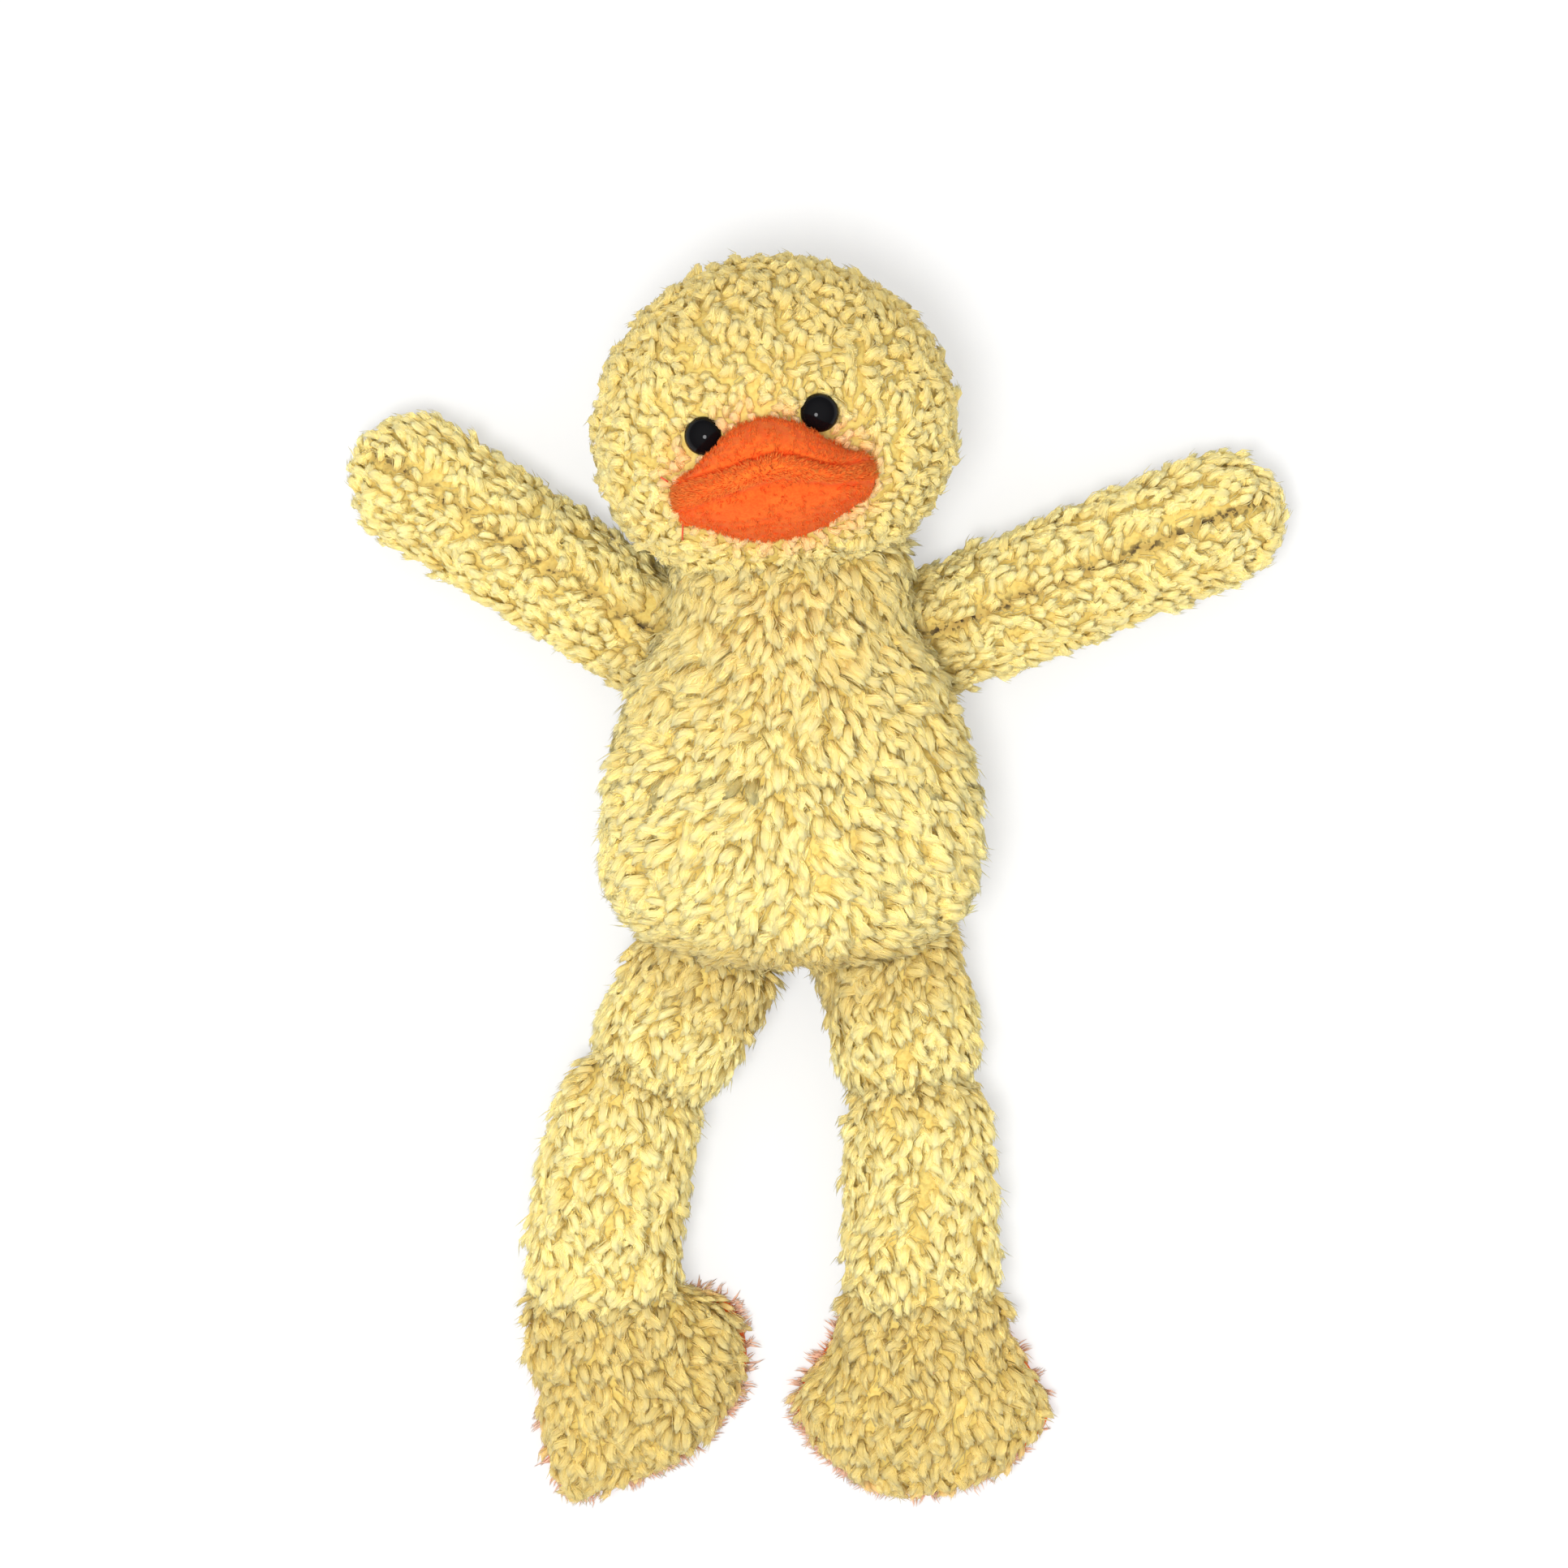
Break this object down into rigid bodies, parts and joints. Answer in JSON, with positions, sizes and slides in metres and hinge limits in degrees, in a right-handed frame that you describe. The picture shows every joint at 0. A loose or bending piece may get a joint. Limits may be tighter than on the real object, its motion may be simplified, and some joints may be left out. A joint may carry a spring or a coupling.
{
  "type": "plush duckling",
  "caption": "Soft curly-fleece duckling toy with a velvet bill and webbed feet, lying on its back, with a nodding head, swinging arms and legs that bend at hip, knee and ankle.",
  "frame": {"origin": "on the floor, in the middle of the flat patch that the toy's back rests on, under the belly", "axes": "+X to the toy's own left, +Y from the seat to the head, +Z from the back up to the belly; the floor is z = 0"},
  "size_m": [0.2228, 0.2966, 0.0948],
  "materials": {
    "fleece": "pale yellow curly sherpa fleece",
    "velvet": "orange short-nap velvet plush",
    "eye": "glossy black",
    "washer": "natural white",
    "filling": "loose white polyester fibre"
  },
  "bodies": {
    "torso": {"body_front": "fleece", "body_back": "fleece", "body_filling": "filling"},
    "head": {"head_front": "fleece", "head_back": "fleece", "head_filling": "filling", "bill_upper": "velvet", "bill_lower": "velvet", "bill_filling": "filling", "left_eye": "eye", "right_eye": "eye", "left_eye_washer": "washer", "right_eye_washer": "washer"},
    "left_arm": {"left_arm_cover": "fleece", "left_arm_filling": "filling"},
    "right_arm": {"right_arm_cover": "fleece", "right_arm_filling": "filling"},
    "left_thigh": {"left_thigh_cover": "fleece", "left_thigh_filling": "filling"},
    "right_thigh": {"right_thigh_cover": "fleece", "right_thigh_filling": "filling"},
    "left_shin": {"left_shin_cover": "fleece", "left_shin_filling": "filling"},
    "right_shin": {"right_shin_cover": "fleece", "right_shin_filling": "filling"},
    "left_foot": {"left_foot_cover": "fleece", "left_foot_filling": "filling", "left_foot_sole": "velvet"},
    "right_foot": {"right_foot_cover": "fleece", "right_foot_filling": "filling", "right_foot_sole": "velvet"}
  },
  "joints": [
    {"name": "neck_nod", "type": "hinge", "parent": "torso", "child": "head", "pos_m": [0, 0.0444, 0.0295], "axis": [1, 0, 0], "range_deg": [-20, 30]},
    {"name": "left_shoulder", "type": "hinge", "parent": "torso", "child": "left_arm", "pos_m": [0.03239, 0.042, 0.013], "axis": [0, 0, 1], "range_deg": [-48, 18]},
    {"name": "right_shoulder", "type": "hinge", "parent": "torso", "child": "right_arm", "pos_m": [-0.03239, 0.042, 0.013], "axis": [0, 0, -1], "range_deg": [-58, 15]},
    {"name": "left_hip", "type": "hinge", "parent": "torso", "child": "left_thigh", "pos_m": [0.024, -0.03939, 0.0155], "axis": [-1, 0, 0], "range_deg": [-30, 52]},
    {"name": "right_hip", "type": "hinge", "parent": "torso", "child": "right_thigh", "pos_m": [-0.022, -0.04016, 0.0155], "axis": [-1, 0, 0], "range_deg": [-30, 52]},
    {"name": "left_knee", "type": "hinge", "parent": "left_thigh", "child": "left_shin", "pos_m": [0.02977, -0.06439, 0.0155], "axis": [-1, 0, 0], "range_deg": [-46, 46]},
    {"name": "right_knee", "type": "hinge", "parent": "right_thigh", "child": "right_shin", "pos_m": [-0.03423, -0.06316, 0.0155], "axis": [-1, 0, 0], "range_deg": [-46, 46]},
    {"name": "left_ankle", "type": "hinge", "parent": "left_shin", "child": "left_foot", "pos_m": [0.03164, -0.11789, 0.0125], "axis": [-1, 0, 0], "range_deg": [-45, 45]},
    {"name": "right_ankle", "type": "hinge", "parent": "right_shin", "child": "right_foot", "pos_m": [-0.04343, -0.11816, 0.0125], "axis": [-1, 0, 0], "range_deg": [-45, 45]}
  ]
}
